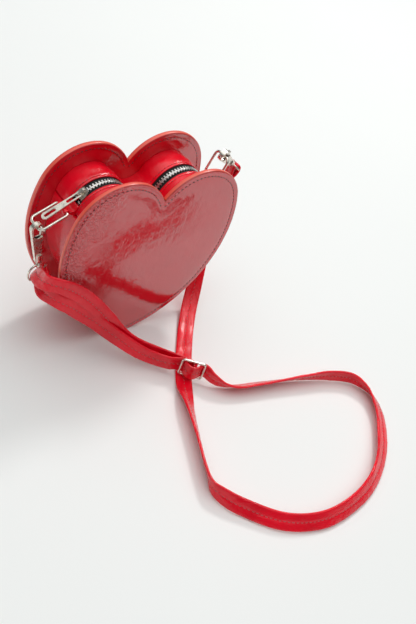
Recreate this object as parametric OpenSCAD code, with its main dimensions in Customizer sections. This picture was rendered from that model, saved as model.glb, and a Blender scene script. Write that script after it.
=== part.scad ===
// Heart shaped purse: two stiff leather panels joined by a set-in gusset,
// closed by a zipper over the two lobes and carried by a clip-on strap.
// The front faces -Y, and the two heart tips stand on the floor at z = 0.

/* [Heart body] */
// Depth from face to face
body_depth = 68; // [60:1:78]
// Radius of the round lobes
lobe_r = 50; // [47:1:54]
// How far each lobe reaches over the middle of the heart
lobe_lap = 6; // [4:0.5:10]
// Radius of the long side curves
side_r = 122; // [114:1:132]
// Angle below level where a side curve takes over from its lobe
side_angle = 18; // [12:1:24]
// Distance from the edge of the panels in to the gusset
gusset_inset = 19; // [17:0.5:21]

/* [Leather and lining] */
// Thickness of the leather on the panels
leather_t = 1.2; // [1:0.1:1.5]
// Thickness of the board inside a panel
board_t = 2.6; // [2:0.1:3.2]
// Thickness of the gusset
gusset_t = 1.6; // [1.2:0.1:2]
// Thickness of the lining
lining_t = 0.6; // [0.4:0.1:0.8]

/* [Zipper] */
// Opening between the gusset's two upper strips
zip_gap = 13; // [12:0.5:15]
// Thickness of the zipper tape
tape_t = 0.6; // [0.5:0.05:0.7]
// Distance from tooth to tooth along one row
tooth_pitch = 3; // [2.8:0.1:3.4]
// Height of the teeth above and below the tape together
tooth_h = 2.4; // [2.2:0.1:2.6]
// Thickness of a tooth along the row
tooth_w = 1.25; // [1.1:0.05:1.35]
// Length of the slider
slider_l = 10; // [9:0.5:12]
// Length of the puller
puller_l = 40; // [32:1:44]
// Width of the puller
puller_w = 8; // [7:0.5:10]

/* [Tabs and rings] */
// Thickness of a tab's leather
tab_t = 1.4; // [1.2:0.1:1.6]
// Width of a tab
tab_w = 14; // [13:0.5:15]
// Radius of the wire of the bag's rings
ring_wire = 1.3; // [1.1:0.1:1.5]
// Length of the left ring between wire centres
left_ring_l = 28; // [24:1:30]
// Length of the right ring between wire centres
right_ring_l = 25; // [22:1:28]

/* [Clips] */
// Width of a hook across its wide end
hook_w = 12.4; // [12:0.2:13]
// Thickness of a hook
hook_t = 4.4; // [4.2:0.1:5]
// Length of a hook from its throat to the swivel
hook_l = 39; // [38:0.5:42]

/* [Strap] */
// Width of the strap
strap_w = 17; // [15:0.5:18]
// Thickness of the strap
strap_t = 2.6; // [2:0.1:2.8]
// Radius of the wire of the strap's rings and slide
strap_wire = 1; // [0.8:0.1:1.1]

/* [Hidden] */
$fn = 96;

// Shared by all cuts and fits
overrun = 1;
fit_gap = 0.08;
rest_gap = 0.1;

// Heart outline: the side curves pass through the tip at the origin
panel_t = 2 * leather_t + board_t;
lobe_x = lobe_r - lobe_lap;
face_y = body_depth / 2;
inner_y = face_y - panel_t;
side_cx = lobe_x - (side_r - lobe_r) * cos(side_angle);
side_cz = sqrt(side_r * side_r - side_cx * side_cx);
lobe_z = side_cz + (side_r - lobe_r) * sin(side_angle);
notch_z = lobe_z + sqrt(lobe_r * lobe_r - lobe_x * lobe_x);
notch_angle = asin((notch_z - lobe_z) / lobe_r);

// The zipper follows the gusset round the left lobe, the valley under the
// notch and the right lobe. Angles are measured at a lobe's centre.
gusset_r = lobe_r - gusset_inset;
track_r = gusset_r - gusset_t - tape_t / 2;
valley_r = gusset_inset + gusset_t + tape_t / 2;
zip_start = 156;
zip_end = 38;
split_rise = 4;
slider_angle = 138;
spread_shift = 2;

// One half of the outline: a lobe and the side curve under it
module half_heart(inset) {
  translate([lobe_x, lobe_z]) circle(r = lobe_r - inset);
  intersection() {
    translate([side_cx, side_cz]) circle(r = side_r - inset);
    polygon([[0, -lobe_r], [0, lobe_z], [lobe_x, lobe_z],
      [lobe_x + side_r * cos(side_angle), lobe_z + side_r * sin(side_angle)],
      [lobe_x + side_r, -lobe_r]]);
  }
}

// The heart, or a smaller one that runs inside it at a constant distance
module heart(inset = 0) {
  difference() {
    union() {
      half_heart(inset);
      mirror([1, 0]) half_heart(inset);
      polygon([[-lobe_x, lobe_z], [0, notch_z], [lobe_x, lobe_z]]);
    }
    if (inset > 0) translate([0, notch_z]) circle(r = inset);
  }
}

// A sheet of outline 2D, standing from y to y + t
module upright(y, t) {
  translate([0, y + t, 0]) rotate([90, 0, 0]) linear_extrude(t) children();
}

// Part of a ring of outer radius r and width t, from one angle to another
module ring_part(r, t, from, to) {
  intersection() {
    difference() {
      circle(r = r);
      circle(r = r - t);
    }
    polygon([[0, 0], for (share = [0:0.25:1]) let (a = from + share * (to - from)) 2 * r * [cos(a), sin(a)]]);
  }
}

// A band that follows the heart, between two distances from its edge. Its
// arcs run a little way over each other so that it is one piece.
band_lap = 2;
module heart_band(inset, t) {
  for (side = [0, 1]) mirror([side, 0]) {
    translate([lobe_x, lobe_z])
      ring_part(lobe_r - inset, t, side_angle - band_lap, 180 - notch_angle + band_lap);
    intersection() {
      translate([side_cx, side_cz]) ring_part(side_r - inset, t, -90, side_angle);
      translate([0, -side_r]) square([2 * side_r, 3 * side_r]);
    }
  }
  translate([0, notch_z]) ring_part(inset + t, t, notch_angle - 180, -notch_angle);
}

// The part of the outline's plane that belongs to the upper strips: above
// a level line and all of the valley, and the rest for the lower gusset
module above_split() {
  translate([-side_r, lobe_z + split_rise]) square([2 * side_r, side_r]);
  translate([-lobe_x / 2, lobe_z + split_rise - lobe_r]) square([lobe_x, lobe_r + overrun]);
}
module below_split() {
  difference() {
    translate([-side_r, lobe_z + split_rise - 3 * side_r]) square([2 * side_r, 3 * side_r]);
    above_split();
  }
}

module front_outer_leather() { color("crimson") upright(-face_y, leather_t) heart(); }
module front_board() { color("tan") upright(-face_y + leather_t, board_t) heart(); }
module front_inner_leather() { color("crimson") upright(-inner_y - leather_t, leather_t) heart(); }
module back_outer_leather() { color("crimson") upright(face_y - leather_t, leather_t) heart(); }
module back_board() { color("tan") upright(inner_y + leather_t, board_t) heart(); }
module back_inner_leather() { color("crimson") upright(inner_y, leather_t) heart(); }

// Gusset: two upper strips beside the zipper and one piece round the rest
strip_w = inner_y - zip_gap / 2;
module upper_strip(y) {
  color("crimson") upright(y, strip_w) intersection() {
    heart_band(gusset_inset, gusset_t);
    above_split();
  }
}
module gusset_front_strip() { upper_strip(-inner_y); }
module gusset_rear_strip() { upper_strip(zip_gap / 2); }
module gusset_lower() {
  color("crimson") upright(-inner_y, 2 * inner_y) intersection() {
    heart_band(gusset_inset, gusset_t);
    below_split();
  }
}

// Zipper tapes: they lie under the strips and reach in to the teeth. Where
// the zipper is open, between the slider and the left tab, they stand apart.
tape_w = 13;
tooth_head = 1.1;
tape_edge = tooth_head + rest_gap;
module tape(side) {
  color("dimgray") difference() {
    upright(side < 0 ? -tape_w : tape_edge, tape_w - tape_edge) intersection() {
      heart_band(gusset_inset + gusset_t, tape_t);
      above_split();
    }
    upright(-tape_edge - spread_shift, 2 * (tape_edge + spread_shift))
      translate([-lobe_x, lobe_z]) polygon([[0, 0],
        [lobe_r * cos(open_angle), lobe_r * sin(open_angle)],
        [-lobe_r, lobe_r * sin(open_angle)], [-lobe_r, -lobe_r], [0, -lobe_r]]);
  }
}
module zip_tape_front() { tape(-1); }
module zip_tape_rear() { tape(1); }

// Lining: a sheet on each panel, a band under the lower gusset and a
// narrow band beside each tape
lining_inset = gusset_inset + gusset_t;
module lining() {
  color("black") {
    upright(-inner_y, lining_t) heart(lining_inset);
    upright(inner_y - lining_t, lining_t) heart(lining_inset);
    upright(-inner_y, 2 * inner_y) intersection() {
      heart_band(lining_inset, lining_t);
      below_split();
    }
    upright(-inner_y, inner_y - tape_w - rest_gap) intersection() {
      heart_band(lining_inset, lining_t);
      above_split();
    }
    upright(tape_w + rest_gap, inner_y - tape_w - rest_gap) intersection() {
      heart_band(lining_inset, lining_t);
      above_split();
    }
  }
}

// Places along the zipper. A distance s along the track gives a point in
// the XZ plane and the direction that points out of the bag.
left_arc = track_r * PI / 180 * (zip_start - notch_angle);
valley_arc = valley_r * PI / 180 * (180 - 2 * notch_angle);
right_arc = track_r * PI / 180 * (180 - notch_angle - zip_end);
zip_len = left_arc + valley_arc + right_arc;
function turn(length, r) = length / r * 180 / PI;
function track_angle(s) =
  s < left_arc ? zip_start - turn(s, track_r)
  : s < left_arc + valley_arc ? 180 + notch_angle + turn(s - left_arc, valley_r)
  : 180 - notch_angle - turn(s - left_arc - valley_arc, track_r);
function in_valley(s) = s >= left_arc && s < left_arc + valley_arc;
function track_point(s) =
  let (a = track_angle(s))
  in_valley(s) ? [valley_r * cos(a), notch_z + valley_r * sin(a)]
  : [(s < left_arc ? -lobe_x : lobe_x) + track_r * cos(a), lobe_z + track_r * sin(a)];
function track_pitch(s) = in_valley(s) ? 270 - track_angle(s) : 90 - track_angle(s);
slider_s = track_r * PI / 180 * (zip_start - slider_angle);
open_s = slider_s - slider_l / 10;
open_angle = zip_start - turn(open_s + tooth_w / 2, track_r);

// Stands its children on the track, with X along it and Z outward
module on_track(s) {
  p = track_point(s);
  translate([p.x, 0, p.y]) rotate([0, track_pitch(s), 0]) children();
}

// One tooth: a clamp round the tape's edge with a rounded head, as a
// profile in the YZ plane. Its head points to +Y.
tooth_back = 2.6;
module tooth() {
  rotate([90, 0, 90]) translate([0, 0, -tooth_w / 2]) linear_extrude(tooth_w) difference() {
    union() {
      translate([-tooth_back, -tooth_h / 2]) square([tooth_back, tooth_h]);
      translate([-tooth_head, -tooth_h / 2]) square([2 * tooth_head - tooth_h / 3, tooth_h]);
      translate([tooth_head - tooth_h / 3, tooth_h / 6]) circle(r = tooth_h / 3, $fn = 24);
      translate([tooth_head - tooth_h / 3, -tooth_h / 6]) circle(r = tooth_h / 3, $fn = 24);
    }
    translate([-tooth_back - overrun, -tape_t / 2 - fit_gap])
      square([tooth_back + overrun - tape_edge + fit_gap, tape_t + 2 * fit_gap]);
  }
}

// A row of teeth. The teeth that the slider has passed stand apart.
module teeth(side) {
  count = floor(zip_len / tooth_pitch) - 1;
  color("silver") for (i = [0 : count]) {
    s = (side < 0 ? i + 0.5 : i + 1) * tooth_pitch;
    apart = s < open_s ? spread_shift : 0;
    on_track(s) translate([0, side * apart, 0]) mirror([0, side < 0 ? 0 : 1, 0]) tooth();
  }
}
module zip_teeth_front() { teeth(-1); }
module zip_teeth_rear() { teeth(1); }

// End stops: a clamp on each tape at the open end, and one bar across both
// tapes at the closed end
stop_l = 2.2;
stop_w = 7;
module stop_bar() {
  rotate([90, 0, 90]) translate([0, 0, -stop_l / 2]) linear_extrude(stop_l) difference() {
    translate([-stop_w / 2, -tooth_h / 2]) square([stop_w, tooth_h]);
    for (side = [-1, 1]) translate([side < 0 ? -stop_w / 2 - overrun : tape_edge - fit_gap,
      -tape_t / 2 - fit_gap]) square([stop_w / 2 + overrun - tape_edge + fit_gap, tape_t + 2 * fit_gap]);
  }
}
module stop_clamp() {
  rotate([90, 0, 90]) translate([0, 0, -stop_l / 2]) linear_extrude(stop_l) difference() {
    translate([-tooth_back, -tooth_h / 2]) square([tooth_back, tooth_h]);
    translate([-tooth_back - overrun, -tape_t / 2 - fit_gap])
      square([tooth_back + overrun - tape_edge + fit_gap, tape_t + 2 * fit_gap]);
  }
}
module zip_stops() {
  color("silver") {
    on_track(-stop_l / 2) for (side = [0, 1]) mirror([0, side, 0])
      translate([0, -spread_shift, 0]) stop_clamp();
    on_track(zip_len + stop_l / 2) stop_bar();
  }
}

// Slider: two plates joined by a post at the mouth, with side lips that
// leave a slit for the tapes, and a bridge on top for the puller
slider_half = 5.6;
slider_tail = 3.7;
plate_t = 0.9;
top_gap = 0.35;
under_gap = 0.65;
lip_t = 0.75;
slit_up = 0.45;
slit_down = 0.85;
top_z = tooth_h / 2 + top_gap;
under_z = -tooth_h / 2 - under_gap;
module slider_outline(inset = 0) {
  polygon([[-slider_l / 2, slider_half - inset], [slider_l / 16, slider_half - inset],
    [slider_l / 2, slider_tail - inset], [slider_l / 2, inset - slider_tail],
    [slider_l / 16, inset - slider_half], [-slider_l / 2, inset - slider_half]]);
}
module slider_lips(z, h) {
  translate([0, 0, z]) linear_extrude(h) difference() {
    slider_outline();
    scale([2, 1]) slider_outline(lip_t);
  }
}
post_r = 0.75;
bridge_w = 2.4;
bar_r = 0.8;
eye_r = bar_r + 0.15;
bridge_r = 1.9;
bridge_half = 2.4;
bar_z = top_z + plate_t + eye_r;
bar_x = -1.6;
module zip_slider() {
  color("silver") on_track(slider_s) {
    translate([0, 0, top_z]) linear_extrude(plate_t) slider_outline();
    translate([0, 0, under_z - plate_t]) linear_extrude(plate_t) slider_outline();
    slider_lips(slit_up, top_z - slit_up);
    slider_lips(under_z, -slit_down - under_z);
    for (x = [slider_l * 0.27, slider_l * 0.36]) translate([-x, 0, under_z])
      cylinder(r = post_r, h = top_z - under_z);
    translate([0, bridge_w / 2, 0]) rotate([90, 0, 0]) linear_extrude(bridge_w) difference() {
      union() {
        link([-bridge_half, bar_z], bridge_r, [bridge_half, bar_z], bridge_r);
        translate([-bridge_half - bridge_r, top_z + plate_t / 2])
          square([2 * (bridge_half + bridge_r), bar_z - top_z - plate_t / 2]);
      }
      link([-bridge_half, bar_z], eye_r, [bridge_half, bar_z], eye_r);
      translate([-slider_l, top_z - slider_l]) square([2 * slider_l, slider_l]);
    }
  }
}

// Two circles joined by the tangents between them
module link(p, p_r, q, q_r) {
  d = norm(q - p);
  a = atan2(q.y - p.y, q.x - p.x);
  b = acos((p_r - q_r) / d);
  translate(p) circle(r = p_r);
  translate(q) circle(r = q_r);
  polygon([p + p_r * [cos(a + b), sin(a + b)], q + q_r * [cos(a + b), sin(a + b)],
    q + q_r * [cos(a - b), sin(a - b)], p + p_r * [cos(a - b), sin(a - b)]]);
}

// Puller: a flat drop with a long slot round the bridge and a short one at
// its free end. It lies back towards the left ring.
puller_t = 1.3;
puller_lift = 17.7;
near_w = 6.4;
slot_w = bridge_w + 0.8;
near_slot = 13;
far_slot = 9;
far_wall = 2.4;
module zip_puller() {
  far = puller_l - puller_w / 2;
  color("silver") on_track(slider_s) translate([bar_x, 0, bar_z]) rotate([0, puller_lift, 0]) {
    translate([0, 0, -puller_t / 2]) linear_extrude(puller_t) difference() {
      union() {
        link([-near_slot - puller_t, 0], near_w / 2, [-far, 0], puller_w / 2);
        translate([-near_slot - puller_t, -near_w / 2]) square([near_slot + puller_t, near_w]);
      }
      link([-slot_w / 2 - bar_r, 0], slot_w / 2, [-near_slot, 0], slot_w / 2);
      translate([-slot_w / 2 - bar_r, -slot_w / 2]) square([slot_w / 2 + bar_r + overrun, slot_w]);
      link([-far + far_slot, 0], puller_w / 2 - far_wall, [-far, 0], puller_w / 2 - far_wall);
    }
    translate([0, near_w / 2, 0]) rotate([90, 0, 0]) cylinder(r = bar_r, h = near_w);
  }
}

// Tabs: a strip of leather sewn on the gusset and folded round the ring.
// Angles are measured at the lobe's centre.
tab_reach = 10;
tab_foot = 13;
left_tab_angle = 170;
right_tab_angle = 21;
loop_r = ring_wire + fit_gap;
bar_place = gusset_r + tab_reach;
left_bar = [-lobe_x + bar_place * cos(left_tab_angle), lobe_z + bar_place * sin(left_tab_angle)];
right_bar = [lobe_x + bar_place * cos(right_tab_angle), lobe_z + bar_place * sin(right_tab_angle)];
module tab(cx, angle) {
  color("crimson") upright(-tab_w / 2, tab_w) difference() {
    union() {
      intersection() {
        heart_band(gusset_inset - tab_t, tab_t);
        translate([cx, lobe_z]) rotate(angle) polygon([[0, 0],
          2 * gusset_r * [cos(tab_foot), sin(tab_foot)],
          2 * gusset_r * [cos(tab_foot), -sin(tab_foot)]]);
      }
      translate([cx, lobe_z]) rotate(angle) {
        translate([0, -tab_t]) square([bar_place, 2 * tab_t]);
        translate([bar_place, 0]) circle(r = loop_r + tab_t);
      }
    }
    heart(gusset_inset);
    translate([cx, lobe_z]) rotate(angle) translate([bar_place, 0]) circle(r = loop_r);
  }
}
module left_tab() { tab(-lobe_x, left_tab_angle); }
module right_tab() { tab(lobe_x, right_tab_angle); }

// Rings: rounded rectangles of wire. X runs from the bar in the tab to the
// bar that carries the clip.
near_corner = 2;
far_corner = 4.5;
ring_w = tab_w + 2 * near_corner + 1;
left_ring_turn = 152.5;
right_ring_turn = -73.1;
module wire_corner(r, wire) {
  rotate_extrude(angle = 90) translate([r, 0]) circle(r = wire, $fn = 24);
}
module wire_rod(p, q, wire) {
  v = q - p;
  translate(p) rotate([0, acos(v.z / norm(v)), atan2(v.y, v.x)]) cylinder(r = wire, h = norm(v), $fn = 24);
}
// A rounded rectangle of wire from x = 0 to x = l
module wire_loop(l, w, first_corner, last_corner, wire) {
  h = w / 2;
  wire_rod([0, first_corner - h, 0], [0, h - first_corner, 0], wire);
  wire_rod([l, last_corner - h, 0], [l, h - last_corner, 0], wire);
  for (m = [0, 1]) mirror([0, m, 0]) {
    wire_rod([first_corner, h, 0], [l - last_corner, h, 0], wire);
    translate([first_corner, h - first_corner, 0]) rotate(90) wire_corner(first_corner, wire);
    translate([l - last_corner, h - last_corner, 0]) wire_corner(last_corner, wire);
  }
}
module left_ring() {
  translate([left_bar.x, 0, left_bar.y]) rotate([0, left_ring_turn, 0])
    color("silver") wire_loop(left_ring_l, ring_w, near_corner, far_corner, ring_wire);
}
module right_ring() {
  translate([right_bar.x, 0, right_bar.y]) rotate([0, right_ring_turn, 0])
    color("silver") wire_loop(right_ring_l, ring_w, near_corner, far_corner, ring_wire);
}

// Clips. Their own frame has its origin at the middle of the hook's throat,
// the swivel towards -Z and the opening towards +X.
throat_r = 4.3;
throat_l = 6.4;
waist_r = 4.2;
waist_x = -0.8;
waist_share = 0.45;
end_r = 3.6;
window_top = -2.4;
window_low = -10.4;
gate_t = 2.4;
slot_half = gate_t / 2 + rest_gap;
slot_top = -9.4;
pivot_x = 1.4;
pivot_rise = 10.6;
pivot = [pivot_x, pivot_rise - hook_l];
pin_r = 1;
slot_low = pivot.y - 2.6;
slot_back = -3.6;
slot_foot = -1.2;
post_d = 3.6;
head_d = 5.2;
head_h = 3;
cavity_gap = 0.1;
neck_l = 4.6;
module hook_shape() {
  difference() {
    union() {
      link([0, 0], hook_w / 2, [waist_x, -hook_l * waist_share], waist_r);
      link([waist_x, -hook_l * waist_share], waist_r, [0, -hook_l + end_r], end_r);
      translate([-end_r, -hook_l]) square([2 * end_r, end_r]);
    }
    link([0, 0], throat_r, [0, -throat_l], throat_r);
    translate([0, window_low]) square([hook_w, window_top - window_low]);
  }
}
module hook() {
  color("silver") difference() {
    union() {
      upright(-hook_t / 2, hook_t) hook_shape();
      translate([0, 0, -hook_l]) cylinder(r = end_r, h = neck_l + head_h + cavity_gap * 2);
    }
    upright(-slot_half, 2 * slot_half) polygon([[slot_foot, slot_low], [slot_back, -hook_l * waist_share],
      [slot_back, slot_top], [hook_w, slot_top], [hook_w, slot_low]]);
    upright(-hook_t, 2 * hook_t) translate(pivot) circle(r = pin_r);
    translate([0, 0, -hook_l - overrun]) cylinder(d = post_d + 2 * cavity_gap, h = neck_l + 2 * overrun);
    translate([0, 0, -hook_l + neck_l]) cylinder(d = head_d + 4 * cavity_gap, h = head_h + 2 * cavity_gap);
  }
}

// Gate: the thumb lever that closes the throat
tip = [4.6, -3.6];
tip_r = 1.1;
lever_r = 1.9;
knob_r = 1.6;
knob_z = -6.4;
knob_out = 7.6;
module gate() {
  color("silver") {
    upright(-gate_t / 2, gate_t) difference() {
      link(pivot, lever_r, tip, tip_r);
      translate(pivot) circle(r = pin_r + fit_gap / 2);
    }
    translate([tip.x - tip_r / 2, 0, knob_z]) rotate([0, 90, 0])
      cylinder(r = knob_r, h = knob_out - tip.x + tip_r / 2, $fn = 48);
  }
}
module gate_pin() {
  color("silver") upright(-hook_t / 2, hook_t) translate(pivot) circle(r = pin_r, $fn = 48);
}

// Leaf spring between the hook's back and the lever
leaf_t = 0.4;
leaf_w = 1.8;
leaf_foot = [slot_foot + leaf_t / 8, slot_low + 1.6];
leaf_top = 16;
leaf_out = 1.3;
leaf_tip = [leaf_out, slot_low + leaf_top];
module gate_spring() {
  h = [leaf_t / 2, 0];
  color("silver") upright(-leaf_w / 2, leaf_w)
    polygon([leaf_foot - h, leaf_tip - h, leaf_tip + h, leaf_foot + h]);
}

// Swivel: a headed post turning in the hook's end, with a collar and an eye
collar_r = 3.2;
collar_l = 1.4;
eye_mid_r = 2.9;
eye_wire = 1;
eye_z = -hook_l - rest_gap - collar_l - eye_mid_r - eye_wire * 0.8;
module swivel() {
  color("silver") {
    translate([0, 0, -hook_l + neck_l + cavity_gap]) cylinder(d = head_d, h = head_h);
    translate([0, 0, -hook_l - rest_gap - collar_l]) cylinder(d = post_d, h = neck_l + collar_l + head_h);
    translate([0, 0, -hook_l - rest_gap - collar_l]) cylinder(r = collar_r, h = collar_l, $fn = 48);
    translate([0, 0, eye_z]) rotate([0, 90, 0]) rotate_extrude($fn = 48)
      translate([eye_mid_r, 0]) circle(r = eye_wire, $fn = 24);
  }
}

// Strap ring: a D of wire, hanging from the eye by its round side
strap_gap = 0.35;
d_turn = strap_wire + strap_t / 2 + strap_gap;
d_r = sqrt(pow(strap_w / 2 + strap_wire + strap_gap, 2) + pow(d_turn + strap_t / 2, 2));
d_z = eye_z - (eye_mid_r - eye_wire - strap_wire - rest_gap) - d_r;
module strap_ring(tilt) {
  color("silver") translate([0, 0, d_z]) rotate([0, tilt, 0]) {
    rotate([90, 0, 0]) rotate_extrude(angle = 180) translate([d_r, 0]) circle(r = strap_wire, $fn = 24);
    wire_rod([-d_r, 0, 0], [d_r, 0, 0], strap_wire);
    for (x = [-d_r, d_r]) translate([x, 0, 0]) sphere(r = strap_wire, $fn = 24);
  }
}

// Where the clips hang: the throat's middle lies below the ring's wire
left_clip_y = -3;
left_hang = 1.9;
left_lean = -11.5;
left_d_tilt = -36.3;
right_clip_y = 0;
right_hang = 0.6;
right_lean = -52.5;
right_back = 19.4;
right_swivel_turn = 90;
right_d_tilt = 41;
left_outer = [left_bar.x + left_ring_l * cos(left_ring_turn), left_clip_y,
  left_bar.y - left_ring_l * sin(left_ring_turn)];
right_outer = [right_bar.x + right_ring_l * cos(right_ring_turn), right_clip_y,
  right_bar.y - right_ring_l * sin(right_ring_turn)];
module in_left_clip() {
  translate(left_outer) rotate([0, left_lean, 0]) translate([0, 0, -left_hang]) children();
}
module in_right_clip() {
  translate(right_outer) rotate([right_back, right_lean, 0]) translate([0, 0, -right_hang]) children();
}
module left_hook() { in_left_clip() hook(); }
module left_gate() { in_left_clip() gate(); }
module left_gate_pin() { in_left_clip() gate_pin(); }
module left_gate_spring() { in_left_clip() gate_spring(); }
module left_swivel() { in_left_clip() swivel(); }
module left_strap_ring() { in_left_clip() strap_ring(left_d_tilt); }
module right_hook() { in_right_clip() hook(); }
module right_gate() { in_right_clip() gate(); }
module right_gate_pin() { in_right_clip() gate_pin(); }
module right_gate_spring() { in_right_clip() gate_spring(); }
module right_swivel() { in_right_clip() rotate(right_swivel_turn) swivel(); }
module right_strap_ring() { in_right_clip() rotate(right_swivel_turn) strap_ring(right_d_tilt); }

// The same places and directions as functions, for the ends of the strap
function turn_x(v, a) = [v.x, v.y * cos(a) - v.z * sin(a), v.y * sin(a) + v.z * cos(a)];
function turn_y(v, a) = [v.x * cos(a) + v.z * sin(a), v.y, v.z * cos(a) - v.x * sin(a)];
function turn_z(v, a) = [v.x * cos(a) - v.y * sin(a), v.x * sin(a) + v.y * cos(a), v.z];
function unit(v) = v / norm(v);
function square_to(v, w) = unit(v - (v * w) * w);
left_d = left_outer + turn_y([0, 0, d_z - left_hang], left_lean);
left_d_dir = turn_y([1, 0, 0], left_lean + left_d_tilt);
right_d = right_outer + turn_y(turn_x([0, 0, d_z - right_hang], right_back), right_lean);
right_d_dir = turn_y(turn_x(turn_z(turn_y([1, 0, 0], right_d_tilt), right_swivel_turn), right_back),
  right_lean);

// Slide: a wire frame with a middle bar. The strap's own end is sewn round
// the middle bar, and the strap runs back through the frame over that end.
slide_wire = 1.2;
slide_half = 11.5;
slide_corner = 2;
slide_play = 0.3;
slide_w = strap_w + 2 * (slide_wire + slide_play);
slide_mid = [24.5, -116, 15];
slide_heading = -41.3;
module adjuster() {
  color("silver") translate(slide_mid) rotate([90, 0, slide_heading]) translate([-slide_half, 0, 0]) {
    wire_loop(2 * slide_half, slide_w, slide_corner, slide_corner, slide_wire);
    wire_rod([slide_half, -slide_w / 2, 0], [slide_half, slide_w / 2, 0], slide_wire);
  }
}

// Strap route. Each row holds a point of the strap's middle line and the
// direction across its width, chosen by hand where the strap lies free.
upper_rows = [
  [[9, -92, 15], [0, 0, 1]],
  [[-5, -82, 19], [0, 0, 1]],
  [[-21, -71, 25], [0.1, 0, 1]],
  [[-34, -62, 35], [0.2, 0, 1]],
  [[-46, -55, 50], [0.3, 0, 1]],
  [[-62, -48, 68], [0.3, 0, 1]],
  [[-80, -43, 84], [0.25, 0, 1]],
  [[-95, -39, 92], [0.1, 0, 1]],
  [[-104, -31, 92], [0.1, 0, 1]],
  [[-105, -19, 87], [0.4, 0, 0.9]]
];
lower_rows = [
  [[-100, -18, 72], [0.5, 0, 0.85]],
  [[-98, -28, 72], [0.15, 0, 1]],
  [[-93, -36, 71], [0.1, 0, 1]],
  [[-84, -41, 67], [0.2, 0, 1]],
  [[-72, -45, 58], [0.3, 0, 1]],
  [[-58, -51, 48], [0.3, 0, 1]],
  [[-45, -60, 38], [0.3, 0, 1]],
  [[-32, -70, 29], [0.2, 0, 1]],
  [[-19, -80, 21], [0.1, 0, 1]],
  [[-4, -90, 15], [0, 0, 1]],
  [[9, -101, 14.5], [0, 0, 1]]
];
loop_rows = [
  [[39.5, -131.5, 12.5], [-0.1, -0.2, 1]],
  [[47.5, -141.5, 9], [-0.2, -0.5, 0.8]],
  [[60, -148, 8], [-0.2, -0.7, 0.7]],
  [[80, -153, 8], [-0.2, -0.7, 0.7]],
  [[111, -160, 8.5], [-0.2, -0.6, 0.8]],
  [[142, -168, 9.5], [-0.1, -0.4, 0.9]],
  [[172, -178, 10], [-0.1, -0.1, 1]],
  [[193, -191, 9.5], [-0.3, 0, 0.95]],
  [[200, -210, 8], [-0.6, 0.1, 0.8]],
  [[192, -234, 7], [-0.8, 0.1, 0.6]],
  [[174, -257, 6.5], [-0.8, 0.2, 0.5]],
  [[150, -279, 7.5], [-0.7, 0.3, 0.6]],
  [[118, -298, 8], [-0.3, 0.6, 0.75]],
  [[78, -309, 8.5], [0, 0.6, 0.75]],
  [[38, -309, 8.5], [0.2, 0.6, 0.75]],
  [[4, -295, 8.5], [0.3, 0.5, 0.8]],
  [[-20, -270, 8.5], [0.3, 0.4, 0.85]],
  [[-33, -251, 9.5], [0.2, 0.3, 0.95]],
  [[-37, -236, 9.5], [-0.1, 0.2, 0.95]],
  [[-31, -220, 9], [-0.3, 0.2, 0.9]],
  [[-21, -197, 9], [-0.4, 0.2, 0.9]],
  [[-10, -172, 8.5], [-0.5, 0.2, 0.85]],
  [[1, -147, 7], [-0.6, 0.3, 0.6]],
  [[14, -123, 2.2], [-0.8, 0.5, 0.05]],
  [[28, -102, 1.8], [-0.8, 0.6, 0]],
  [[46, -78, 1.8], [-0.8, 0.6, 0]],
  [[66, -53, 3], [-0.8, 0.6, 0]],
  [[82, -34, 9], [-0.8, 0.6, 0]],
  [[91, -23, 22], [-0.85, 0.5, 0]],
  [[98, -13, 40], [-0.9, 0.4, 0]],
  [[104, -3, 64], [-0.8, 0.6, 0]],
  [[109, 6, 90], [-0.6, 0.8, 0]],
  [[115, 13, 115], [-0.3, 0.95, -0.1]],
  [[123, 17, 134], [0, 1, -0.15]]
];

// Where the strap is carried, its rows follow the fittings
bar_turn = slide_wire + strap_t / 2 + strap_gap;
over_turn = bar_turn + strap_t + strap_gap * 2;
layer = strap_t + strap_gap;
weave = asin((bar_turn + over_turn) / slide_half);
leave_angle = 20;
function by_slide(t, n) = [slide_mid + turn_z([t, n, 0], slide_heading), [0, 0, 1]];
sewn_rows = concat([for (a = [-90 : 45 : 90]) by_slide(bar_turn * cos(a), bar_turn * sin(a))],
  [by_slide(-slide_half, bar_turn + layer)]);
weave_rows = [
  by_slide(-slide_half, bar_turn),
  by_slide(-slide_half + bar_turn * sin(weave), bar_turn * cos(weave)),
  by_slide(-over_turn * sin(weave), -over_turn * cos(weave)),
  by_slide(0, -over_turn),
  by_slide(over_turn * sin(weave), -over_turn * cos(weave)),
  by_slide(slide_half - bar_turn * sin(weave), bar_turn * cos(weave)),
  by_slide(slide_half, bar_turn),
  by_slide(slide_half + bar_turn * sin(leave_angle), bar_turn * cos(leave_angle))
];
function round_bar(mid, dir, away, side) = [for (a = [-90 : 45 : 90])
  [mid + d_turn * (cos(a) * away + side * sin(a) * cross(dir, away)), dir]];
left_away = square_to(left_d - (upper_rows[len(upper_rows) - 1][0] + lower_rows[0][0]) / 2, left_d_dir);
right_away = square_to(right_d - loop_rows[len(loop_rows) - 1][0], right_d_dir);
end_l = 12;
right_rows = round_bar(right_d, right_d_dir, right_away, 1);
strap_rows = concat(sewn_rows, upper_rows, round_bar(left_d, left_d_dir, left_away, -1), lower_rows,
  weave_rows, loop_rows, right_rows, [[right_rows[4][0] - end_l * right_away, right_d_dir]]);

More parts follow.
